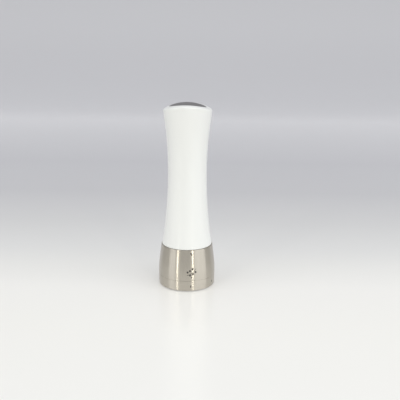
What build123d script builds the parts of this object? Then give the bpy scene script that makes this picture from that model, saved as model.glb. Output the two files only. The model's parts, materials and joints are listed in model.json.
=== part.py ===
from build123d import *
from math import cos, radians, sin
import os

# Pepper mill: a wooden body that is twisted on a steel base, with a ring at the foot
# that sets the grind. Millimetres. The origin is on the table at the mill's axis, +Z is
# up, and the marks face -Y. Azimuths are degrees from -Y towards +X.

# ---- overall size ----
total_height = 210.0
seam_height = 48.6          # steel rim, where the wooden body begins
ring_top = 12.9             # top of the adjusting ring
steel_bottom = 1.1          # the steel stops just above the table, the foot ring carries it
steel_wall = 0.9
steel_edge = 0.25
seam_gap = 0.15             # between the ring and the steel shell
body_gap = 0.25             # between the steel rim and the wooden body
fit = 0.05                  # glued and pressed joints within one body
run = 0.07                  # running fits
wide = 45.0                 # radius outside the whole mill

# ---- curved top and its disc ----
crown_radius = 70.0         # the top is part of a cylinder about Y
crown_offset = -1.0         # its axis lies this far towards -X
inlay_radius = 20.6
inlay_thickness = 0.8
dome_top = 212.2            # outside the disc the wood falls away in a doubly curved dome
dome_side_radius = 48.0     # its radius from left to right
dome_depth_radius = 100.0   # its radius from front to back
edge_round = 1.0

# ---- grind adjustment ----
settings = 6
setting_step = 55.0         # degrees between two marks
tick_azimuth = 9.5          # the first setting's tick
index_azimuth = 11.0        # the dot, the emblem and the upper mark
lead = 3.0                  # lift of the outer burr per turn of the ring
rib_turns = 0.9
lift = lead * setting_step * (settings - 1) / 360
stop_play = 1.0             # degrees left at each end of the ring's travel

# ---- burrs ----
burr_bottom = 5.0
burr_top = 22.0
burr_waist = 14.0           # fine teeth below, feeding teeth above
fine_radius = 11.4          # inner burr at its foot
waist_radius = 8.9
tip_radius = 6.2
burr_gap = 0.3              # finest setting
outer_burr_radius = 15.0

# ---- shaft and drive ----
shaft_side = 6.0
shaft_bottom = 3.4
shaft_top = 180.0
socket_bottom = 166.0

# ---- housing ----
floor_bottom = 13.4
floor_top = 15.6
deck_bottom = 44.4
deck_top = 47.2
neck_top = 62.0
neck_radius = 20.5
tube_outer = 20.0
tube_inner = 17.2
seat_bottom = 38.0
seat_top = 40.0
reservoir_outer = 16.5
reservoir_inner = 15.0
reservoir_top = 162.0
bearing_outer = 22.0
bore_radius = 18.0

foot_radius = 32.4
ring_top_radius = 32.8
shell_foot_radius = 32.75
rim_radius = 29.6
base_outline = [(foot_radius, 0), (ring_top_radius, 12), (32.3, 27), (30.6, 41), (rim_radius, seam_height)]
body_outline = [(28.85, seam_height + body_gap), (26.75, 63), (24.75, 81), (22.95, 105),
                (22.1, 134), (22.65, 157), (24.5, 180), (27.25, 202), (28.0, 211)]


def ring(inner, outer, low, high):
    """Plain ring about the mill's axis."""
    return Pos(0, 0, low) * extrude(Circle(outer) - Circle(inner), high - low)


def rod(radius, low, high):
    """Plain round about the mill's axis."""
    return Pos(0, 0, low) * extrude(Circle(radius), high - low)


def turned(*corners):
    """Ring turned from a straight-sided section, given as radius and height."""
    return revolve(Plane.XZ * make_face(Polyline(*corners, close=True)), Axis.Z)


def solid_of(outline, inset=0.0):
    """Solid of revolution inside an outline, moved inward by inset."""
    curve = Spline(*[(r - inset, z) for r, z in outline])
    low = outline[0][1]
    high = outline[-1][1]
    ends = Polyline(curve @ 1, (0, high), (0, low), curve @ 0)
    return revolve(Plane.XZ * make_face([curve, ends]), Axis.Z)


def around(azimuth):
    """Turns a piece made at the front, -Y, to an azimuth."""
    return Rot(0, 0, azimuth)


def repeat(piece, azimuths):
    """Copies of a piece made at the front, one for each azimuth."""
    copies = Part()
    for azimuth in azimuths:
        copies += around(azimuth) * piece
    return copies


def block(width, near, far, low, high):
    """Block at the front, from radius near to radius far."""
    size = (width, far - near, high - low)
    return Pos(0, -(near + far) / 2, (low + high) / 2) * Box(*size)


def sector(inner, outer, low, high, azimuth, angle):
    """Part of a ring, centred on an azimuth."""
    piece = revolve(
        Plane.XZ * Pos((inner + outer) / 2, (low + high) / 2) * Rectangle(outer - inner, high - low),
        Axis.Z, angle)
    return Rot(0, 0, azimuth - 90 - angle / 2) * piece


def screw(radius, head_radius, length):
    """Countersunk screw, its head's face at the origin and its point up."""
    head_height = head_radius - radius
    tip = radius * 0.4
    body = turned((0, 0), (head_radius, 0), (radius, head_height), (radius, length - radius),
                  (tip, length), (0, length))
    slot = Pos(0, 0, head_height * 0.25) * Box(head_radius * 1.3, radius * 0.35, head_height * 0.5)
    cross = Rot(0, 0, 90) * slot
    return body - slot - cross


def screw_hole(radius, head_radius, length):
    """Space that such a screw fills, with its fit all round."""
    head_height = head_radius - radius
    wide = radius + fit
    return turned((0, -fit), (head_radius + fit, -fit), (wide, head_height), (wide, length + fit),
                  (0, length + fit))


# ---- the base, held in the hand ----

base_body = solid_of(base_outline)
base_core = solid_of(base_outline, steel_wall)
shell_bottom = ring_top + seam_gap
lip_thickness = 0.9
lip_radius = 27.3
engraving = 0.35

mark_band = base_body - solid_of(base_outline, engraving)
tick_width = 1.1
tick_height = 2.8
tick_level = 6.4
dot_radius = 0.75
dot_level = 17.2
corn_radius = 1.2
emblem_level = 23.8
upper_dot_radius = 0.9
upper_mark_level = 44.2


def mark(sketch, azimuth, level):
    """Flush mark on the steel: a flat shape pressed into the skin."""
    plate = Plane.XZ * sketch
    prism = Pos(0, 0, level) * extrude(plate, wide)
    return around(azimuth) * prism & mark_band


def sprig():
    """Emblem: peppercorns on a curved stem."""
    stem = ThreePointArc((-5.3, -3.7), (-0.5, -1.6), (5.3, 3.9))
    shape = make_face(trace(stem, 0.6))
    corns = [(-4.6, -0.3), (-1.9, 1.3), (1.1, 3.5), (-1.7, -3.9), (1.6, -2.4), (4.6, -0.3)]
    for x, y in corns:
        shape += Pos(x, y) * Circle(corn_radius)
    return shape


def shell_marks():
    upper = Pos(-0.4, 0.75) * Circle(upper_dot_radius) + Pos(0.45, -0.75) * Circle(upper_dot_radius)
    marks = Part()
    marks += mark(Circle(dot_radius), index_azimuth, dot_level)
    marks += mark(sprig(), index_azimuth, emblem_level)
    marks += mark(upper, index_azimuth, upper_mark_level)
    return marks


def softened(low, high, low_radius, high_radius, size):
    """Solid that takes the sharp edges off a turned piece between two heights."""
    return turned((0, low), (low_radius - size, low), (wide, low + wide - low_radius + size),
                  (wide, high - wide + high_radius - size), (high_radius - size, high), (0, high))


def base_shell():
    """Steel shell with a lip turned inward under the wooden body."""
    wall = (base_body - base_core) & rod(wide, shell_bottom, seam_height)
    lip = ring(lip_radius, 29.3, seam_height - lip_thickness, seam_height) & base_body
    edges = softened(shell_bottom, seam_height, shell_foot_radius, rim_radius, steel_edge)
    return ((wall + lip) & edges) - shell_marks()


screw_place = 27.8
screw_azimuths = [60, 180, 300]
plate_screw = (0.9, 1.9, 10.0)
keys = [0, 120, 240]
key_width = 4.0
key_top = 27.0


def mill_housing():
    """Moulded core: sleeve under the steel, deck, neck and the tube round the grinder."""
    outside = solid_of(base_outline, steel_wall + fit)
    sleeve = (outside - solid_of(base_outline, steel_wall + 1.7)) & rod(wide, floor_top, deck_top)
    deck = outside & ring(tube_inner, wide, deck_bottom, deck_top)
    tube = ring(tube_inner, tube_outer, floor_bottom + 0.2, deck_bottom)
    seat = ring(reservoir_inner, tube_outer, seat_bottom, seat_top)
    neck = ring(reservoir_outer + fit, neck_radius, seat_top, neck_top)
    rib = block(1.6, tube_outer - 0.5, 30.6, floor_top, deck_bottom + 0.5)
    ribs = repeat(rib, range(0, 360, 60)) & outside
    boss = Pos(0, -screw_place, floor_top) * extrude(Circle(2.6), 15)
    bosses = repeat(boss, [a + 30 for a in screw_azimuths]) & outside
    housing = sleeve + deck + tube + seat + neck + ribs + bosses
    keyway = block(key_width + 0.6, 16, 18.7, floor_bottom, key_top + lift + 1)
    housing -= repeat(keyway, keys)
    hole = Pos(0, -screw_place, floor_bottom) * screw_hole(*plate_screw)
    housing -= repeat(hole, [a + 30 for a in screw_azimuths])
    cross_hole = Pos(0, -bridge_screw_start, bridge_level) * Rot(-90, 0, 0) * screw_hole(*bridge_screw)
    housing -= repeat(cross_hole, bridge_azimuths)
    return housing


spigot_inner = 23.8
spigot_outer = 25.6
spigot_bottom = 5.0
clip_bottom = 7.4
clip_top = 8.4
base_stop_angle = 42.0
ring_stop_angle = 360 - setting_step * (settings - 1) - base_stop_angle - 2 * stop_play
base_stop_azimuth = 150.0


def base_plate():
    """Plate under the housing, with the spigot that holds the ring and its stop."""
    plate = ring(tube_outer + fit, 31.4, floor_bottom, floor_top - fit)
    spigot = ring(spigot_inner, spigot_outer, spigot_bottom, floor_bottom)
    stop = sector(22.4, spigot_inner + 0.3, spigot_bottom, 9.0, base_stop_azimuth, base_stop_angle)
    piece = plate + spigot + stop
    piece -= ring(24.8, 26, clip_bottom - fit, clip_top + fit)
    hole = Pos(0, -screw_place, floor_bottom) * screw_hole(*plate_screw)
    piece -= repeat(hole, [a + 30 for a in screw_azimuths])
    rivet = Pos(0, -spring_place, spring_level) * Cylinder(0.65, 4)
    return piece - around(spring_azimuth) * Pos(spring_root, 0, 0) * rivet


def plate_screws():
    one = Pos(0, -screw_place, floor_bottom) * screw(*plate_screw)
    return repeat(one, [a + 30 for a in screw_azimuths])


def ring_clip():
    """Snap ring round the spigot, open at the back."""
    return ring(24.85, 27.4, clip_bottom, clip_top) - around(200) * block(9, 20, 30, 0, 20)


spring_place = 27.5
spring_azimuth = 150.0
spring_level = 13.0
spring_root = 7.0
notch_depth = 0.9
lip_top = 10.4


def click_spring():
    """Leaf spring under the plate; its nose rests in a notch of the cam ring."""
    upper = Polyline((spring_root + 1.6, 13.2), (3.5, 13.2), (0.6, lip_top + 0.25),
                     (0, lip_top - notch_depth + 0.35), (-0.6, lip_top + 0.25), (-1.6, lip_top + 0.9))
    leaf = Plane.XZ * make_face(trace(upper, 0.3))
    leaf = Pos(0, -spring_place + 0.7, 0) * extrude(leaf, 1.4)
    rivet = Pos(spring_root, -spring_place, spring_level + 0.8) * Cylinder(0.6, 1.7)
    return around(spring_azimuth) * (leaf + rivet)


def bearing_ring():
    """Ring on the neck: a flange that carries the body and a sleeve that guides it."""
    piece = turned((neck_radius + fit, deck_top + fit), (lip_radius - fit, deck_top + fit),
                   (lip_radius - fit, seam_height), (bearing_outer, seam_height),
                   (bearing_outer, 60), (bearing_outer - 0.6, 60.8), (neck_radius + fit, 60.8))
    return piece - ring(20.85, 23, 55.4, 56.6)


def friction_ring():
    """Round rubber ring in the bearing ring's groove."""
    return Pos(0, 0, 56) * Torus(21.4, 0.5)


def pepper_reservoir():
    """Clear tube that holds the peppercorns, with a bead at its mouth."""
    return turned((reservoir_inner, seat_top + fit), (reservoir_outer, seat_top + fit),
                  (reservoir_outer, reservoir_top - 3), (17.1, reservoir_top - 2),
                  (17.1, reservoir_top - 0.6), (16.6, reservoir_top),
                  (reservoir_inner + 0.6, reservoir_top),
                  (reservoir_inner, reservoir_top - 0.8))


hub_radius = 7.0
bush_outer = 5.2
shaft_corner = shaft_side * 2 ** 0.5 / 2
bridge_bottom = 33.0
bridge_level = 35.5
bridge_screw = (0.8, 1.6, 4.6)
bridge_screw_start = tube_outer
bridge_azimuths = [30, 150, 270]


def shaft_bridge():
    """Three-armed spider in the tube that centres the shaft."""
    rim = ring(reservoir_inner, tube_inner - fit, bridge_bottom, seat_bottom - fit)
    hub = ring(bush_outer + fit, hub_radius, bridge_bottom, seat_bottom)
    arm = block(2.6, hub_radius - 0.4, reservoir_inner + 0.5, bridge_bottom, seat_bottom - 0.5)
    spider = rim + hub + repeat(arm, bridge_azimuths)
    hole = Pos(0, -bridge_screw_start, bridge_level) * Rot(-90, 0, 0) * screw_hole(*bridge_screw)
    return spider - repeat(hole, bridge_azimuths)


def bridge_screws():
    one = Pos(0, -bridge_screw_start, bridge_level) * Rot(-90, 0, 0) * screw(*bridge_screw)
    return repeat(one, bridge_azimuths)


def shaft_bush():
    """Flanged bush; the corners of the square shaft run in it."""
    inner = shaft_corner + run
    return ring(inner, bush_outer, bridge_bottom, seat_bottom + 1) + ring(
        inner, hub_radius - 0.6, seat_bottom + fit, seat_bottom + 1)


# ---- the ring that sets the grind ----

skin_inner = 31.5
wall_inner = 29.5
thread_inner = 19.9
thread_wall = 22.0
web_bottom = 2.1
web_top = 4.0
foot_inner = 24.5
foot_outer = 28.5
foot_depth = 3.0
rib_start = 6.2
carrier_wide = 19.5


def thread(root, crest, root_width, crest_width, low, turns):
    """Right-handed helical band of trapezoid section, starting towards +X."""
    path = Helix(pitch=lead, height=lead * turns, radius=root)
    section = Polyline((0, -root_width / 2), (crest - root, -crest_width / 2),
                       (crest - root, crest_width / 2), (0, root_width / 2), close=True)
    start = Plane(origin=path @ 0, x_dir=(1, 0, 0), z_dir=path % 0)
    return Pos(0, 0, low) * sweep(start * make_face(section), path=path, is_frenet=True)


def setting_marks():
    tick = Rectangle(tick_width, tick_height)
    marks = Part()
    for index in range(settings):
        marks += around(index * setting_step) * mark(tick, tick_azimuth, tick_level)
    return marks


def adjusting_ring():
    """Steel skin of the ring, flanged inward at its foot."""
    wall = (base_body - rod(skin_inner, -1, seam_height)) & rod(wide, steel_bottom, ring_top)
    flange = ring(29.0, skin_inner + 0.3, steel_bottom, web_bottom)
    edges = softened(steel_bottom, ring_top, foot_radius, ring_top_radius, steel_edge)
    return ((wall + flange) & edges) - setting_marks()


def cam_ring():
    """Moulded ring with the helical groove, the lip for the clip, the notches and a stop."""
    inner_wall = ring(thread_inner, thread_wall, web_bottom, 12.6)
    web = ring(thread_wall - 0.2, wall_inner + 0.2, web_bottom, web_top)
    outer_wall = ring(wall_inner, skin_inner - fit, web_bottom + fit, 12.8)
    lip = ring(26.4, wall_inner + 0.2, 8.7, lip_top)
    stop = sector(thread_wall - 0.2, 23.4, web_top - 0.1, 9.0, ring_stop_azimuth(), ring_stop_angle)
    piece = inner_wall + web + outer_wall + lip + stop
    piece -= ring(foot_inner, foot_outer, 0, foot_depth)
    piece -= groove()
    notch_face = Polyline((-1.6, lip_top + 0.1), (0, lip_top - notch_depth), (1.6, lip_top + 0.1),
                          close=True)
    notch = Pos(0, -26, 0) * extrude(Plane.XZ * make_face(notch_face), 4)
    piece -= repeat(notch, [spring_azimuth + i * setting_step for i in range(settings)])
    return piece


def ring_stop_azimuth():
    """At rest the ring's stop lies just past the base's, on the side it turns away to."""
    return base_stop_azimuth - base_stop_angle / 2 - stop_play - ring_stop_angle / 2


def groove():
    """Groove for the rib, long enough for the ring's whole travel."""
    travel = setting_step * (settings - 1) / 360
    turns = rib_turns + travel + 0.1
    start = Rot(0, 0, -0.05 * 360) * Pos(0, 0, -0.05 * lead)
    root = thread_inner - 0.6
    return start * thread(root, 21.0, 1.9, 1.3, rib_start, turns)


def foot_ring():
    """Rubber ring the mill stands on."""
    face = turned((foot_inner + fit, 0.4), (foot_inner + 0.5, 0), (foot_outer - 0.5, 0),
                  (foot_outer - fit, 0.4), (foot_outer - fit, foot_depth - fit),
                  (foot_inner + fit, foot_depth - fit))
    return face


# ---- the outer burr, which the ring lifts ----

burr_screw = (0.9, 1.8, 6.0)
burr_screw_place = 17.25
flange_bottom = 4.0
flange_top = 5.5
wide_top = 10.9


def burr_carrier():
    """Carrier of the outer burr: it slides on three keys and has the helical rib."""
    funnel = turned((outer_burr_radius + fit, flange_top), (carrier_wide, flange_top),
                    (carrier_wide, wide_top), (16.9, wide_top), (16.9, 30), (15.9, 30), (13.2, 21.5),
                    (13.2, 20 + fit), (outer_burr_radius + fit, 20 + fit))
    key = block(key_width, 16.5, 18.4, 15, key_top)
    rib = thread(carrier_wide - 0.3, 20.6, 1.3, 0.8, rib_start, rib_turns)
    carrier = funnel + repeat(key, keys) + rib
    hole = Pos(0, -burr_screw_place, flange_bottom) * screw_hole(*burr_screw)
    return carrier - repeat(hole, keys)


def star(crest, root, teeth, turn):
    """Toothed outline with one steep and one sloping side to each tooth."""
    corners = []
    step = 360 / teeth
    for tooth in range(teeth):
        for radius, share in ((crest, 0.0), (root, 0.28)):
            angle = radians((tooth + share) * step + turn)
            corners.append((radius * cos(angle), radius * sin(angle)))
    return make_face(Polyline(*corners, close=True))


def toothed(levels, teeth):
    """Loft of toothed outlines; each level is height, crest, root and turn."""
    sections = [Pos(0, 0, z) * star(crest, root, teeth, turn) for z, crest, root, turn in levels]
    return loft(sections, ruled=True)


fine_teeth = 30
feed_teeth = 6
fine_twist = 10
feed_twist = 45
slope = (fine_radius - waist_radius) / (burr_waist - burr_bottom)


def outer_burr():
    """Ring burr: fine teeth below its throat, feeding teeth above, and a screwed flange."""
    blank = rod(outer_burr_radius, flange_bottom, 20) + rod(19.2, flange_bottom, flange_top)
    throat = 13.0
    foot = fine_radius + burr_gap + slope * (burr_bottom - flange_bottom + 0.2)
    neck = fine_radius + burr_gap - slope * (throat - burr_bottom)
    fine = toothed([(flange_bottom - 0.2, foot, foot + 0.9, 0), (throat, neck, neck + 0.9, fine_twist)],
                   fine_teeth)
    feed = toothed([(throat, neck, neck + 1.2, 0), (20.2, 12.4, 14.2, 20)], 2 * feed_teeth)
    piece = blank - fine - feed
    hole = Pos(0, -burr_screw_place, flange_bottom) * screw_hole(*burr_screw)
    return piece - repeat(hole, keys)


def burr_screws():
    one = Pos(0, -burr_screw_place, flange_bottom) * screw(*burr_screw)
    return repeat(one, keys)


# ---- the drive, turned by the body ----

def square_bar(side, low, high):
    return Pos(0, 0, (low + high) / 2) * Box(side, side, high - low)


clip_level = 4.0
spring_bottom = burr_top + fit
washer_bottom = 32.0
washer_top = 32.6


def drive_shaft():
    """Square shaft with pointed top and the clip's groove near its foot."""
    shaft = square_bar(shaft_side, shaft_bottom, shaft_top)
    shaft = chamfer(shaft.edges().group_by(Axis.Z)[-1], 1.2)
    return shaft - ring(2.5, 6, clip_level - fit, clip_level + 0.8 + fit)


def inner_burr():
    """Toothed cone: fine teeth at its foot, feeding teeth above."""
    fine = toothed([(burr_bottom, fine_radius, fine_radius - 0.9, 0),
                    (burr_waist, waist_radius, waist_radius - 0.9, fine_twist)], fine_teeth)
    feed = toothed([(burr_waist, waist_radius - 0.1, waist_radius - 1.7, 0),
                    (18.0, 7.6, 6.0, feed_twist / 2), (burr_top, tip_radius, 5.0, feed_twist)], feed_teeth)
    return fine + feed - square_bar(shaft_side + 2 * fit, 0, 30)


def burr_clip():
    """Open clip in the shaft's groove under the inner burr."""
    return ring(2.55, 6.2, clip_level, clip_level + 0.8) - block(4.2, 0, 7, 0, 9)


def burr_spring():
    """Coil spring that presses the inner burr onto its clip."""
    wire = 0.45
    low = spring_bottom + wire
    height = washer_bottom - 2 * wire - spring_bottom
    path = Helix(pitch=height / 4.5, height=height, radius=5.2)
    section = Plane(origin=path @ 0, x_dir=(1, 0, 0), z_dir=path % 0) * Circle(wire)
    return Pos(0, 0, low) * sweep(section, path=path, is_frenet=True)


def spring_washer():
    return ring(shaft_corner + fit, 6.4, washer_bottom, washer_top)


def shaft_collar():
    """Collar on the shaft that rests on the bush's flange."""
    low = seat_bottom + 1.1
    collar = rod(hub_radius - 0.3, low, low + 3)
    collar = chamfer(collar.edges().group_by(Axis.Z)[-1], 0.5)
    return collar - square_bar(shaft_side + 2 * fit, 0, 60)


# ---- the wooden body ----

ferrule_outer = 24.4
ferrule_bottom = seam_height + 0.15
ferrule_top = 60.5
recess_top = 64.0
bore_top = 172.0
plug_radius = 8.0
plug_top = 184.0
pin_radius = 1.5
pin_bottom = 199.0
pin_spread = 12.0


def crown(inset=0.0):
    """Cylinder about Y whose top is the mill's curved top."""
    centre = total_height - crown_radius
    return Pos(crown_offset, 0, centre) * Rot(90, 0, 0) * Cylinder(crown_radius - inset, 2 * wide)


def dome():
    """Ring about X whose outer top is the rim's dome."""
    centre = dome_top - dome_depth_radius
    return Pos(0, 0, centre) * Rot(0, 90, 0) * Torus(dome_depth_radius - dome_side_radius, dome_side_radius)


def on_rim(point):
    """Whether a point lies on the edge between the body's wall and its top."""
    return point.Z > 200 and point.X ** 2 + point.Y ** 2 > 27 ** 2


def mill_body():
    """Turned wooden body with its bores, the curved top and the disc's pocket."""
    body = solid_of(body_outline)
    above = Pos(0, 0, total_height - 4) * Box(2 * wide, 2 * wide, 20)
    body -= above - crown()
    body -= above - dome()
    rim = [edge for edge in body.edges() if on_rim(edge @ 0.37)]
    body = fillet(rim, edge_round)
    body -= rod(inlay_radius + fit, 190, 215) - crown(inlay_thickness + fit)
    body -= rod(ferrule_outer + fit, 0, ferrule_top + fit)
    body -= rod(22.6, 0, recess_top)
    body -= rod(bore_radius, 0, bore_top)
    body -= rod(plug_radius + fit, 0, plug_top + 0.5)
    pin = Pos(0, -pin_spread, pin_bottom - fit) * extrude(Circle(pin_radius + fit), 20)
    body -= repeat(pin, [90, 270])
    hole = Pos(0, -socket_screw_place, flange_low) * screw_hole(*socket_screw)
    return body - repeat(hole, [0, 120, 240])


def top_inlay():
    """Thin steel disc, bent to the top's curve."""
    return rod(inlay_radius, 195, 215) & (crown() - crown(inlay_thickness))


def inlay_pins():
    pin = Pos(0, -pin_spread, pin_bottom) * extrude(Circle(pin_radius), 20)
    return repeat(pin, [90, 270]) & crown(inlay_thickness + fit)


socket_screw = (1.3, 2.5, 15.0)
socket_screw_place = 13.0
flange_low = bore_top - 3.0


def drive_socket():
    """Flanged plug in the bore; its square hole takes the shaft."""
    flange = rod(bore_radius - fit, flange_low, bore_top - fit)
    plug = rod(plug_radius, bore_top - 0.5, plug_top)
    nose = rod(plug_radius + 1, socket_bottom, flange_low)
    socket = flange + plug + nose
    hole = Pos(0, -socket_screw_place, flange_low) * screw_hole(*socket_screw)
    socket -= repeat(hole, [0, 120, 240])
    mouth = Pos(0, 0, socket_bottom) * extrude(Rectangle(9, 9), 2, taper=30)
    return socket - square_bar(shaft_side + 0.3, socket_bottom, shaft_top + 1.5) - mouth


def socket_screws():
    one = Pos(0, -socket_screw_place, flange_low) * screw(*socket_screw)
    return repeat(one, [0, 120, 240])


def body_ferrule():
    """Bush in the body's foot that runs on the bearing ring."""
    inner = bearing_outer + run
    return turned((inner + 0.5, ferrule_bottom), (ferrule_outer, ferrule_bottom),
                  (ferrule_outer, ferrule_top), (inner, ferrule_top), (inner, ferrule_bottom + 0.5))


pieces = [base_shell, shell_marks, mill_housing, base_plate, plate_screws, ring_clip, click_spring,
          bearing_ring, friction_ring, pepper_reservoir, shaft_bridge, bridge_screws, shaft_bush,
          adjusting_ring, setting_marks, cam_ring, foot_ring,
          burr_carrier, outer_burr, burr_screws,
          drive_shaft, inner_burr, burr_clip, burr_spring, spring_washer, shaft_collar,
          mill_body, top_inlay, inlay_pins, drive_socket, socket_screws, body_ferrule]

os.makedirs("parts", exist_ok=True)
for piece in pieces:
    export_step(piece(), "parts/" + piece.__name__ + ".step")
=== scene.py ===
import json
from math import cos, pi, radians, sin, sqrt

import bmesh
import bpy
from mathutils import Matrix, Vector

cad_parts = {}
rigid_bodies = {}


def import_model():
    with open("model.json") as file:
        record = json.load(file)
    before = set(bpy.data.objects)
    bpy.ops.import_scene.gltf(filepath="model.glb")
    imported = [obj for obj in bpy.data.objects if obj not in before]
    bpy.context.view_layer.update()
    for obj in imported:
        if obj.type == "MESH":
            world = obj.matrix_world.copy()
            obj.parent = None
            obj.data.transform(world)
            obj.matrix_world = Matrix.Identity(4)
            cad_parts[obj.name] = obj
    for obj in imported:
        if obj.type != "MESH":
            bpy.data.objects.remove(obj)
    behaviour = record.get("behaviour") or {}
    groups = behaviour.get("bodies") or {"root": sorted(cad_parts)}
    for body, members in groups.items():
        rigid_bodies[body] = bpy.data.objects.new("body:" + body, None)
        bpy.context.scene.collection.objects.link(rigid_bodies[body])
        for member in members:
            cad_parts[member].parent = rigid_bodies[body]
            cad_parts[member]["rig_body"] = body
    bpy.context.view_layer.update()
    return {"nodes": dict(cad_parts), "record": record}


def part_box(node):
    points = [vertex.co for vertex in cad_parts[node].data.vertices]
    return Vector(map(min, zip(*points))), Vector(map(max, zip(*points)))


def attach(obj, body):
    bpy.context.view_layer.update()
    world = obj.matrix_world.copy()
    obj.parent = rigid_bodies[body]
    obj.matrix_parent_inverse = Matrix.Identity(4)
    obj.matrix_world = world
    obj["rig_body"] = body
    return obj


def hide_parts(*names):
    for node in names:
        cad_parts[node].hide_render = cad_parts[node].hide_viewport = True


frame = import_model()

# Millimetres become metres with MM. Azimuths are measured from -Y, the front, towards +X.
MM = 0.001

# ---- sizes read from the frame ----


def low(node):
    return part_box(node)[0].z / MM


def high(node):
    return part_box(node)[1].z / MM


def reach(node):
    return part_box(node)[1].x / MM


total_height = high("mill_body")
body_foot = low("mill_body")
seam = high("base_shell")
shell_foot = low("base_shell")
ring_top = high("adjusting_ring")
ring_foot = low("adjusting_ring")

# ---- outlines, the same as the CAD's ----

base_outline = [(32.4, 0), (32.8, 12), (32.3, 27), (30.6, 41), (29.6, seam)]
body_outline = [(28.85, body_foot), (26.75, 63), (24.75, 81), (22.95, 105),
                (22.1, 134), (22.65, 157), (24.5, 180), (27.25, 202), (28.0, total_height + 1)]
crown_radius = 70.0
crown_offset = -1.0
dome_top = 212.2
dome_side_radius = 48.0
dome_depth_radius = 100.0
crown_blend = 0.12
inlay_radius = reach("top_inlay")
inlay_thickness = 0.8
rim_round = 1.3
steel_wall = 0.9
lip_inner = 27.3
mark_level = 23.8
index_level = 17.2
upper_level = 44.2
tick_level = 6.4
tick_azimuth = 9.5
index_azimuth = 11.0
setting_step = 55.0
settings = 6


def spline(points):
    """Natural cubic spline of radius over height, as a function."""
    zs = [z for r, z in points]
    rs = [r for r, z in points]
    n = len(points)
    gaps = [zs[i + 1] - zs[i] for i in range(n - 1)]
    slopes = [(rs[i + 1] - rs[i]) / gaps[i] for i in range(n - 1)]
    diagonal = [1.0] * n
    right = [0.0] * n
    upper = [0.0] * n
    for i in range(1, n - 1):
        pivot = 2 * (gaps[i - 1] + gaps[i]) - gaps[i - 1] * upper[i - 1]
        upper[i] = gaps[i] / pivot
        right[i] = (6 * (slopes[i] - slopes[i - 1]) - gaps[i - 1] * right[i - 1]) / pivot
        diagonal[i] = pivot
    bend = [0.0] * n
    for i in range(n - 2, 0, -1):
        bend[i] = right[i] - upper[i] * bend[i + 1]

    def radius(z):
        i = max(k for k in range(n - 1) if zs[k] <= z or k == 0)
        t, gap = z - zs[i], gaps[i]
        start = slopes[i] - gap * (2 * bend[i] + bend[i + 1]) / 6
        return rs[i] + t * start + t * t * bend[i] / 2 + t ** 3 * (bend[i + 1] - bend[i]) / (6 * gap)

    return radius


base_radius = spline(base_outline)
body_radius = spline(body_outline)


def stretch(radius, start, end, steps, inset=0.0):
    """Points along an outline between two heights."""
    heights = [start + (end - start) * i / steps for i in range(steps + 1)]
    return [(radius(z) - inset, z) for z in heights]


def rounded(points, steps=5):
    """Closed section whose corners are rounded; a point is (radius, height) or (radius, height, round)."""
    section = []
    count = len(points)
    for i, point in enumerate(points):
        here = Vector(point[:2])
        size = point[2] if len(point) > 2 else 0
        before = Vector(points[i - 1][:2]) - here
        after = Vector(points[(i + 1) % count][:2]) - here
        if not size:
            section.append(tuple(here))
            continue
        first = here + before.normalized() * min(size, before.length * 0.45)
        last = here + after.normalized() * min(size, after.length * 0.45)
        for k in range(steps + 1):
            t = k / steps
            section.append(tuple(first * (1 - t) ** 2 + here * 2 * t * (1 - t) + last * t * t))
    return section + section[:1]


def finish_mesh(bm, name, angle=50):
    """Turns a bmesh into an object with smooth, weighted normals."""
    bmesh.ops.remove_doubles(bm, verts=bm.verts, dist=1e-7)
    bmesh.ops.recalc_face_normals(bm, faces=bm.faces)
    mesh = bpy.data.meshes.new(name)
    bm.to_mesh(mesh)
    bm.free()
    for face in mesh.polygons:
        face.use_smooth = True
    mesh.set_sharp_from_angle(angle=radians(angle))
    piece = bpy.data.objects.new(name, mesh)
    bpy.context.scene.collection.objects.link(piece)
    normals = piece.modifiers.new("normals", "WEIGHTED_NORMAL")
    normals.keep_sharp = True
    return piece


def turned(name, section_at, segments=240):
    """Mesh turned about the axis; section_at(azimuth) gives its section, radius and height in mm."""
    bm = bmesh.new()
    columns = []
    for i in range(segments):
        azimuth = 2 * pi * i / segments
        x, y = sin(azimuth), -cos(azimuth)
        columns.append([bm.verts.new((r * x * MM, r * y * MM, z * MM)) for r, z in section_at(azimuth)])
    for i in range(segments):
        left, right = columns[i], columns[(i + 1) % segments]
        for j in range(len(left) - 1):
            bm.faces.new((left[j], right[j], right[j + 1], left[j + 1]))
    return finish_mesh(bm, name)


def lathe(name, section, segments=240):
    return turned(name, lambda azimuth: section, segments)


def stand_for(piece, node, slot):
    """The piece rides on the node's body, hides the node and takes its slot's finish."""
    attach(piece, frame["nodes"][node]["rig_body"])
    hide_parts(node)
    piece.data.materials.append(finishes[slot])
    return piece


# ---- materials ----


def new_material(name, color, roughness, metallic=0.0, **settings_by_socket):
    material = bpy.data.materials.new(name)
    material.use_nodes = True
    shader = material.node_tree.nodes["Principled BSDF"]
    shader.inputs["Base Color"].default_value = (*color, 1)
    shader.inputs["Roughness"].default_value = roughness
    shader.inputs["Metallic"].default_value = metallic
    for socket, value in settings_by_socket.items():
        shader.inputs[socket.replace("_", " ")].default_value = value
    return material


def add(material, kind, **values):
    node = material.node_tree.nodes.new(kind)
    for key, value in values.items():
        if key in node.inputs:
            node.inputs[key].default_value = value
        else:
            setattr(node, key, value)
    return node


def scaled(color, factor):
    return tuple(min(1.0, factor * c) for c in color)


def wire(material, source, target):
    material.node_tree.links.new(source, target)


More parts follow.
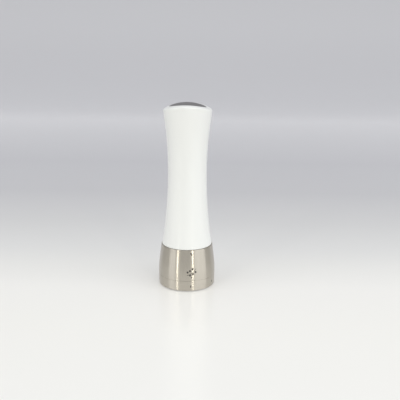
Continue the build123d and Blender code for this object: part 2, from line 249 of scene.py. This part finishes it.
def noise(material, scale, detail=3.0, stretch_by=(1, 1, 1)):
    """Noise over the piece's own coordinates, stretched along its axes."""
    where = add(material, "ShaderNodeTexCoord")
    mapping = add(material, "ShaderNodeMapping")
    mapping.inputs["Scale"].default_value = stretch_by
    grain = add(material, "ShaderNodeTexNoise", Scale=scale, Detail=detail)
    wire(material, where.outputs["Object"], mapping.inputs["Vector"])
    wire(material, mapping.outputs["Vector"], grain.inputs["Vector"])
    return grain.outputs["Fac"]


def vary(material, source, socket, first, last):
    """Varies a shader socket between two values or colours."""
    shader = material.node_tree.nodes["Principled BSDF"]
    if isinstance(first, tuple):
        ramp = add(material, "ShaderNodeValToRGB")
        ramp.color_ramp.elements[0].position = 0.3
        ramp.color_ramp.elements[1].position = 0.7
        ramp.color_ramp.elements[0].color = (*first, 1)
        ramp.color_ramp.elements[1].color = (*last, 1)
        wire(material, source, ramp.inputs["Fac"])
        wire(material, ramp.outputs["Color"], shader.inputs[socket])
        return
    span = add(material, "ShaderNodeMapRange")
    span.inputs["From Min"].default_value = 0.3
    span.inputs["From Max"].default_value = 0.7
    span.inputs["To Min"].default_value = first
    span.inputs["To Max"].default_value = last
    wire(material, source, span.inputs["Value"])
    wire(material, span.outputs["Result"], shader.inputs[socket])


def bump(material, source, depth_mm, strength=1.0):
    shader = material.node_tree.nodes["Principled BSDF"]
    relief = add(material, "ShaderNodeBump")
    relief.inputs["Strength"].default_value = strength
    relief.inputs["Distance"].default_value = depth_mm * MM
    wire(material, source, relief.inputs["Height"])
    wire(material, relief.outputs["Normal"], shader.inputs["Normal"])


def lacquer():
    """White satin lacquer over fine-grained beech."""
    material = new_material("white_lacquer", (0.90, 0.91, 0.90), 0.34, Coat_Weight=0.25, Coat_Roughness=0.16)
    grain = noise(material, 60, 4, (1, 1, 0.12))
    vary(material, grain, "Base Color", (0.89, 0.90, 0.89), (0.915, 0.925, 0.915))
    peel = noise(material, 900, 2)
    vary(material, peel, "Roughness", 0.30, 0.38)
    bump(material, peel, 0.004)
    return material


def turned_steel(name, color, roughness):
    """Stainless steel brushed round the axis: lines along the circumference, highlights along it upright."""
    material = new_material(name, color, roughness, 1.0, Anisotropic=1.0, Anisotropic_Rotation=0.25)
    lines = noise(material, 1, 3, (5, 5, 5200))
    vary(material, lines, "Base Color", scaled(color, 0.985), scaled(color, 1.015))
    vary(material, lines, "Roughness", roughness - 0.01, roughness + 0.01)
    bump(material, lines, 0.0004, 0.3)
    shader = material.node_tree.nodes["Principled BSDF"]
    tangent = add(material, "ShaderNodeTangent", direction_type="RADIAL", axis="Z")
    wire(material, tangent.outputs["Tangent"], shader.inputs["Tangent"])
    return material


def disc_steel():
    """Stainless disc brushed in straight lines from side to side."""
    material = new_material("inlay_steel", (0.34, 0.34, 0.355), 0.3, 1.0, Specular_Tint=(0.66, 0.64, 0.63, 1))
    lines = noise(material, 1, 4, (40, 5000, 40))
    vary(material, lines, "Base Color", (0.32, 0.32, 0.335), (0.37, 0.365, 0.37))
    vary(material, lines, "Roughness", 0.24, 0.34)
    bump(material, lines, 0.003, 0.5)
    return material


def machined(name, color, roughness, streak=(400, 400, 400)):
    """Bare metal with fine machining marks."""
    material = new_material(name, color, roughness, 1.0)
    marks = noise(material, 1, 3, streak)
    vary(material, marks, "Base Color", scaled(color, 0.88), scaled(color, 1.08))
    vary(material, marks, "Roughness", roughness - 0.08, roughness + 0.08)
    bump(material, marks, 0.004, 0.4)
    return material


def moulded(name, color, roughness, grain=1500, depth=0.01):
    """Moulded plastic or rubber with a fine spark-eroded grain."""
    material = new_material(name, color, roughness)
    texture = noise(material, grain, 2)
    vary(material, texture, "Roughness", roughness - 0.06, roughness + 0.06)
    vary(material, texture, "Base Color", scaled(color, 0.9), scaled(color, 1.1))
    bump(material, texture, depth, 0.5)
    return material


def clear_acrylic():
    material = new_material("clear", (0.96, 0.98, 0.985), 0.04, IOR=1.49, Transmission_Weight=1.0)
    haze = noise(material, 120, 3)
    vary(material, haze, "Roughness", 0.03, 0.08)
    return material


finishes = {
    "steel": turned_steel("steel", (0.62, 0.58, 0.512), 0.295),
    "inlay_steel": disc_steel(),
    "white_lacquer": lacquer(),
    "mark": moulded("mark", (0.075, 0.068, 0.058), 0.55),
    "core_plastic": moulded("core_plastic", (0.045, 0.045, 0.048), 0.5),
    "slide_plastic": moulded("slide_plastic", (0.78, 0.765, 0.71), 0.34, 600, 0.004),
    "seal_rubber": moulded("seal_rubber", (0.025, 0.025, 0.026), 0.75, 900, 0.02),
    "clear": clear_acrylic(),
    "burr_steel": machined("burr_steel", (0.36, 0.355, 0.35), 0.42),
    "shaft_steel": machined("shaft_steel", (0.6, 0.6, 0.61), 0.3, (2500, 2500, 60)),
    "spring_steel": machined("spring_steel", (0.45, 0.45, 0.46), 0.28),
    "zinc": machined("zinc", (0.68, 0.69, 0.7), 0.35, (900, 900, 900)),
    "brass": machined("brass", (0.78, 0.6, 0.3), 0.3, (60, 60, 3000)),
}

for part in frame["record"]["subparts"]:
    node = frame["nodes"][part["node"]]
    node.data.materials.clear()
    node.data.materials.append(finishes[part["material_slot"]])


# ---- the wooden body and its disc ----


def crown_height(x, inset=0.0):
    """Height of the curved top over x."""
    centre = total_height - crown_radius
    return centre + sqrt((crown_radius - inset) ** 2 - (x - crown_offset) ** 2)


def dome_height(x, y):
    """Height of the doubly curved rim, part of a ring about X."""
    tube = dome_depth_radius - dome_side_radius + sqrt(dome_side_radius ** 2 - x ** 2)
    return dome_top - dome_depth_radius + sqrt(tube ** 2 - y ** 2)


def top_height(r, azimuth):
    """Height of the wood's top: the crown or the dome, whichever is lower, with a soft change between."""
    x, y = r * sin(azimuth), -r * cos(azimuth)
    crown, rim = crown_height(x), dome_height(x, y)
    nearness = max(crown_blend - abs(crown - rim), 0) / crown_blend
    return min(crown, rim) - nearness * nearness * crown_blend / 4


def edge_height(azimuth):
    """Height at which the wall meets the top."""
    z = total_height - 4
    for _ in range(30):
        z = 0.5 * z + 0.5 * top_height(body_radius(z), azimuth)
    return z


def body_section(azimuth):
    """From the pocket's middle outward, down the wall and up the bores."""
    pocket = inlay_radius + 0.06
    pocket_depth = inlay_thickness + 0.05
    pocket_edge = top_height(pocket, azimuth)
    section = [(0, crown_height(0, pocket_depth))]
    for i in range(1, 9):
        r = pocket * i / 8
        section.append((r, crown_height(r * sin(azimuth), pocket_depth)))
    section += [(pocket, pocket_edge - 0.12), (pocket + 0.04, pocket_edge - 0.03)]
    rim_start = pocket + 0.14
    edge = edge_height(azimuth)
    wall = body_radius(edge)
    for i in range(1, 13):
        r = rim_start + (wall - rim_round - rim_start) * i / 12
        section.append((r, top_height(r, azimuth)))
    start = Vector(section[-1])
    corner = Vector((wall, edge))
    end = Vector((body_radius(edge - rim_round), edge - rim_round))
    for i in range(1, 9):
        t = i / 8
        section.append(tuple(start * (1 - t) ** 2 + corner * 2 * t * (1 - t) + end * t * t))
    section += stretch(body_radius, end.y - 0.4, body_foot + 0.9, 90)
    foot = body_radius(body_foot)
    section += [(foot + 0.02, body_foot + 0.5), (foot - 0.06, body_foot + 0.18), (foot - 0.3, body_foot)]
    # The bores, as radius and top, from the ferrule's seat to the socket's plug.
    seat, step, bore, plug = (24.45, 60.55), (22.6, 64), (18, 172), (8.05, 184.5)
    chamfer = 0.3
    section += [(seat[0] + chamfer, body_foot), (seat[0], body_foot + chamfer), seat, (step[0], seat[1])]
    section += [step, (bore[0] + chamfer, step[1]), (bore[0], step[1] + chamfer), bore]
    return section + [(plug[0], bore[1]), plug, (0, plug[1])]


def inlay_section(azimuth):
    section = [(0, crown_height(0))]
    for i in range(1, 17):
        r = (inlay_radius - 0.18) * i / 16
        section.append((r, crown_height(r * sin(azimuth))))
    edge = inlay_radius * sin(azimuth)
    section += [(inlay_radius - 0.06, crown_height(edge) - 0.02), (inlay_radius, crown_height(edge) - 0.14)]
    section.append((inlay_radius, crown_height(edge, inlay_thickness)))
    for i in range(15, -1, -1):
        r = inlay_radius * i / 16
        section.append((r, crown_height(r * sin(azimuth), inlay_thickness)))
    return section


stand_for(turned("wooden_body", body_section, 288), "mill_body", "white_lacquer")
stand_for(turned("top_disc", inlay_section, 240), "top_inlay", "inlay_steel")

# ---- the steel base and its ring ----


def shell_section():
    outside = stretch(base_radius, seam - 0.5, shell_foot + 0.35, 40)
    top = [(lip_inner, seam, 0.25), (base_radius(seam) - 0.05, seam, 0.28)]
    foot_radius = base_radius(shell_foot)
    foot = [(foot_radius - 0.02, shell_foot, 0.16), (foot_radius - steel_wall, shell_foot, 0.15)]
    inside = stretch(base_radius, shell_foot + 0.5, seam - steel_wall, 24, steel_wall)
    return rounded(top + outside + foot + inside + [(lip_inner, seam - steel_wall, 0.2)])


def ring_section():
    inner, foot_inner, floor_thickness = 31.5, 29.0, 1
    outside = stretch(base_radius, ring_top - 0.55, ring_foot + 0.6, 12)
    top = [(inner, ring_top, 0.15), (base_radius(ring_top) - 0.02, ring_top, 0.24)]
    foot = [(base_radius(ring_foot), ring_foot, 0.5), (foot_inner, ring_foot, 0.3),
            (foot_inner, ring_foot + floor_thickness, 0.2)]
    return rounded(top + outside + foot + [(inner, ring_foot + floor_thickness)])


stand_for(lathe("steel_shell", shell_section()), "base_shell", "steel")
stand_for(lathe("steel_ring", ring_section()), "adjusting_ring", "steel")


# ---- turned pieces that show when the body is lifted or the mill is seen from below ----


def bearing_section():
    foot, top = low("bearing_ring"), high("bearing_ring")
    flange, sleeve, inner = 27.25, 22.0, 20.55
    groove, groove_foot, groove_top = 20.85, 55.4, 56.6
    return rounded([(inner, foot, 0.2), (flange, foot, 0.3), (flange, seam, 0.35), (sleeve + 0.3, seam, 0.2),
                    (sleeve, seam + 0.3, 0.2), (sleeve, groove_foot, 0.15), (groove, groove_foot, 0.1),
                    (groove, groove_top, 0.1), (sleeve, groove_top, 0.15), (sleeve, top - 0.8, 0.4),
                    (sleeve - 0.6, top, 0.25), (inner, top, 0.2)])


def reservoir_section():
    foot, top = low("pepper_reservoir"), high("pepper_reservoir")
    inner, outer, bead = 15.0, 16.5, 17.1
    return rounded([(inner, foot, 0.2), (outer, foot, 0.2), (outer, top - 3, 0.4), (bead, top - 2, 0.4),
                    (bead, top - 0.3, 0.5), (bead - 0.6, top, 0.4), (inner + 0.4, top, 0.4),
                    (inner, top - 1, 0.4)])


def ferrule_section():
    foot, top = low("body_ferrule"), high("body_ferrule")
    inner, outer = 22.07, reach("body_ferrule")
    return rounded([(inner + 0.5, foot, 0.3), (outer, foot, 0.4), (outer, top, 0.3), (inner, top, 0.2),
                    (inner, foot + 0.5, 0.3)])


def foot_section():
    """Rubber ring with two shallow grooves in the face it stands on."""
    top, inner, outer = high("foot_ring"), 24.55, reach("foot_ring")
    points = [(inner, top, 0.1), (inner, 0.5, 0.3), (inner + 0.45, 0, 0.3)]
    groove_depth = 0.35
    for middle in (inner + 1.35, outer - 1.35):
        points += [(middle - 0.3, 0, 0.1), (middle - 0.15, groove_depth, 0.1)]
        points += [(middle + 0.15, groove_depth, 0.1), (middle + 0.3, 0, 0.1)]
    points += [(outer - 0.45, 0, 0.3), (outer, 0.5, 0.3), (outer, top, 0.1)]
    return rounded(points)


def friction_section(steps=20):
    cord, across = 0.5, 21.4
    middle = (low("friction_ring") + high("friction_ring")) / 2
    angles = [2 * pi * i / steps for i in range(steps + 1)]
    return [(across + cord * cos(a), middle + cord * sin(a)) for a in angles]


stand_for(lathe("bearing_collar", bearing_section()), "bearing_ring", "slide_plastic")
stand_for(lathe("pepper_tube", reservoir_section()), "pepper_reservoir", "clear")
stand_for(lathe("foot_bush", ferrule_section()), "body_ferrule", "slide_plastic")
stand_for(lathe("rubber_foot", foot_section()), "foot_ring", "seal_rubber")
stand_for(lathe("friction_band", friction_section()), "friction_ring", "seal_rubber")


# ---- marks, which lie flush on the steel ----


def patch(bm, outline, level, azimuth):
    """Flat shape wrapped on the steel, a hair proud of it, with a rounded edge."""
    loops = []
    centre_x = sum(x for x, y in outline) / len(outline)
    centre_y = sum(y for x, y in outline) / len(outline)
    for grow, lift in ((1.0, -0.05), (1.0, 0.012), (0.9, 0.022)):
        loop = []
        for x, y in outline:
            px, py = centre_x + (x - centre_x) * grow, centre_y + (y - centre_y) * grow
            z = level + py
            r = base_radius(z) + lift
            turn = radians(azimuth) + px / r
            loop.append(bm.verts.new((r * sin(turn) * MM, -r * cos(turn) * MM, z * MM)))
        loops.append(loop)
    count = len(outline)
    for inner, outer in zip(loops[1:], loops):
        for i in range(count):
            k = (i + 1) % count
            bm.faces.new((outer[i], outer[k], inner[k], inner[i]))
    bm.faces.new(loops[-1])
    bm.faces.new(list(reversed(loops[0])))


def dot(x, y, radius, steps=20):
    angles = [2 * pi * i / steps for i in range(steps)]
    return [(x + radius * cos(a), y + radius * sin(a)) for a in angles]


def stem(steps=16, width=0.3):
    """Thin curved stem of the emblem, as pieces that each are nearly straight."""
    half_length, height, slope, curl = 5.3, -1.66, 0.717, 0.063
    line = []
    for i in range(steps + 1):
        x = -half_length + 2 * half_length * i / steps
        line.append((x, height + slope * x + curl * x * x))
    return [[(x, y - width), (u, v - width), (u, v + width), (x, y + width)]
            for (x, y), (u, v) in zip(line, line[1:])]


def tick(width=1.1, height=2.8, corner=0.3):
    points = []
    for sx, sy, start in ((1, 1, 0), (-1, 1, 90), (-1, -1, 180), (1, -1, 270)):
        for k in range(4):
            a = radians(start + 30 * k)
            x, y = sx * (width / 2 - corner), sy * (height / 2 - corner)
            points.append((x + corner * cos(a), y + corner * sin(a)))
    return points


peppercorns = [(-4.6, -0.3), (-1.9, 1.3), (1.1, 3.5), (-1.7, -3.9), (1.6, -2.4), (4.6, -0.3)]
upper_dots = [(-0.4, 0.75), (0.45, -0.75)]

marks = bmesh.new()
for x, y in peppercorns:
    patch(marks, dot(x, y, 1.2), mark_level, index_azimuth)
for outline in stem():
    patch(marks, outline, mark_level, index_azimuth)
patch(marks, dot(0, 0, 0.75), index_level, index_azimuth)
for x, y in upper_dots:
    patch(marks, dot(x, y, 0.9), upper_level, index_azimuth)
stand_for(finish_mesh(marks, "emblem_and_dots"), "shell_marks", "mark")

ticks = bmesh.new()
for index in range(settings):
    patch(ticks, tick(), tick_level, tick_azimuth + index * setting_step)
stand_for(finish_mesh(ticks, "setting_ticks"), "setting_marks", "mark")


# ---- stage, light and camera ----


# Light and shade painted into the paper's colour from front to back, as metres behind the mill and colour: a
# painted pool of light round the mill, painted shade further back and up the curve, and painted dark in
# front, out of view, which darkens the steel's reflection.
painted_floor_light = [(-0.8, (0.13, 0.12, 0.095)), (-0.32, (0.69, 0.685, 0.67)), (-0.12, (0.71, 0.70, 0.675)),
          (-0.02, (0.71, 0.70, 0.68)), (0.05, (0.64, 0.635, 0.62)), (0.12, (0.55, 0.55, 0.55)),
          (0.25, (0.43, 0.43, 0.44)), (0.45, (0.305, 0.305, 0.335)), (0.75, (0.265, 0.265, 0.305)),
          (1.4, (0.365, 0.365, 0.405)), (2.8, (0.485, 0.485, 0.525))]


def sweep_backdrop():
    """Floor that curves up into a wall behind the mill; its colour holds painted light and shade, and it
    glows faintly as painted light.
    """
    front, bend, bend_radius, wall_top, half_width = -3.0, 1.6, 1.2, 4.0, 4.0
    bm = bmesh.new()
    line = [(front, 0.0), (0.0, 0.0), (bend, 0.0)]
    for i in range(1, 13):
        a = radians(90 * i / 12)
        line.append((bend + bend_radius * sin(a), bend_radius * (1 - cos(a))))
    line.append((bend + bend_radius, wall_top))
    rows = [[bm.verts.new((x, y, z)) for y, z in line] for x in (-half_width, half_width)]
    for j in range(len(line) - 1):
        bm.faces.new((rows[0][j], rows[1][j], rows[1][j + 1], rows[0][j + 1]))
    floor = finish_mesh(bm, "floor")
    # Painted glow: the floor gives off a faint even light of its own, which lifts the shade round the mill's
    # foot.
    material = new_material("floor", (0.8, 0.8, 0.8), 0.2,
                            Emission_Color=(1, 1, 0.99, 1), Emission_Strength=0.2)
    # Painted light and shade: the base colour follows the depth along Y through the ramp of painted tones
    # below.
    where = add(material, "ShaderNodeTexCoord")
    split = add(material, "ShaderNodeSeparateXYZ")
    wire(material, where.outputs["Object"], split.inputs["Vector"])
    span = add(material, "ShaderNodeMapRange")
    span.inputs["From Min"].default_value = painted_floor_light[0][0]
    span.inputs["From Max"].default_value = painted_floor_light[-1][0]
    ramp = add(material, "ShaderNodeValToRGB")
    wire(material, split.outputs["Y"], span.inputs["Value"])
    wire(material, span.outputs["Result"], ramp.inputs["Fac"])
    wire(material, ramp.outputs["Color"], material.node_tree.nodes["Principled BSDF"].inputs["Base Color"])
    stops = ramp.color_ramp.elements
    while len(stops) < len(painted_floor_light):
        stops.new(0.5)
    first, last = painted_floor_light[0][0], painted_floor_light[-1][0]
    for stop, (y, color) in zip(stops, painted_floor_light):
        stop.position = (y - first) / (last - first)
        stop.color = (*color, 1)
    floor.data.materials.append(material)


def area_light(name, azimuth, distance, height, size, power, color, aim):
    """Rectangular light at an azimuth, aimed at a height on the mill's axis."""
    data = bpy.data.lights.new(name, "AREA")
    data.shape = "RECTANGLE"
    data.size, data.size_y = size
    data.energy = power
    data.color = color
    lamp = bpy.data.objects.new(name, data)
    a = radians(azimuth)
    lamp.location = (distance * sin(a), -distance * cos(a), height)
    lamp.rotation_euler = (Vector((0, 0, aim)) - lamp.location).to_track_quat("-Z", "Y").to_euler()
    bpy.context.scene.collection.objects.link(lamp)


def camera():
    """Camera in front of the mill, which looks down at it and is rolled slightly."""
    place, pitch, roll = (0.01474, -0.66910, 0.27246), radians(14.446), radians(0.671)
    data = bpy.data.cameras.new("camera")
    data.sensor_width = 36
    data.lens = 53.98
    eye = bpy.data.objects.new("camera", data)
    forward = Vector((0, cos(pitch), -sin(pitch)))
    up = Vector((0, sin(pitch), cos(pitch)))
    right = Vector((1, 0, 0))
    across = cos(roll) * right + sin(roll) * up
    upward = cos(roll) * up - sin(roll) * right
    turn = Matrix((across, upward, -forward)).transposed().to_4x4()
    eye.matrix_world = Matrix.Translation(place) @ turn
    bpy.context.scene.collection.objects.link(eye)
    bpy.context.scene.camera = eye


def world():
    """Bright room above, with a dim warm belt at the level of the horizon."""
    sky = bpy.data.worlds.new("studio")
    sky.use_nodes = True
    tree = sky.node_tree
    where = tree.nodes.new("ShaderNodeTexCoord")
    split = tree.nodes.new("ShaderNodeSeparateXYZ")
    ramp = tree.nodes.new("ShaderNodeValToRGB")
    belt, room = ramp.color_ramp.elements
    belt.position, room.position = 0.12, 0.5
    belt.color, room.color = (0.07, 0.057, 0.038, 1), (0.98, 0.995, 1.0, 1)
    tree.links.new(where.outputs["Generated"], split.inputs["Vector"])
    tree.links.new(split.outputs["Z"], ramp.inputs["Fac"])
    tree.links.new(ramp.outputs["Color"], tree.nodes["Background"].inputs["Color"])
    tree.nodes["Background"].inputs["Strength"].default_value = 0.9
    bpy.context.scene.world = sky


sweep_backdrop()
world()
camera()
cool, ivory = (0.98, 0.99, 1.0), (1.0, 0.98, 0.86)
area_light("key", -62, 1.6, 0.85, (0.9, 1.5), 4.2, cool, 0.25)
area_light("fill", 60, 1.6, 0.85, (1.7, 1.5), 9.2, cool, 0.25)
for name, azimuth in (("strip_left", -37.5), ("strip_right", 26.2)):
    area_light(name, azimuth, 1.5, 0.6, (0.065, 1.6), 3.3, ivory, 0.1)
bpy.context.scene.view_settings.view_transform = "Standard"
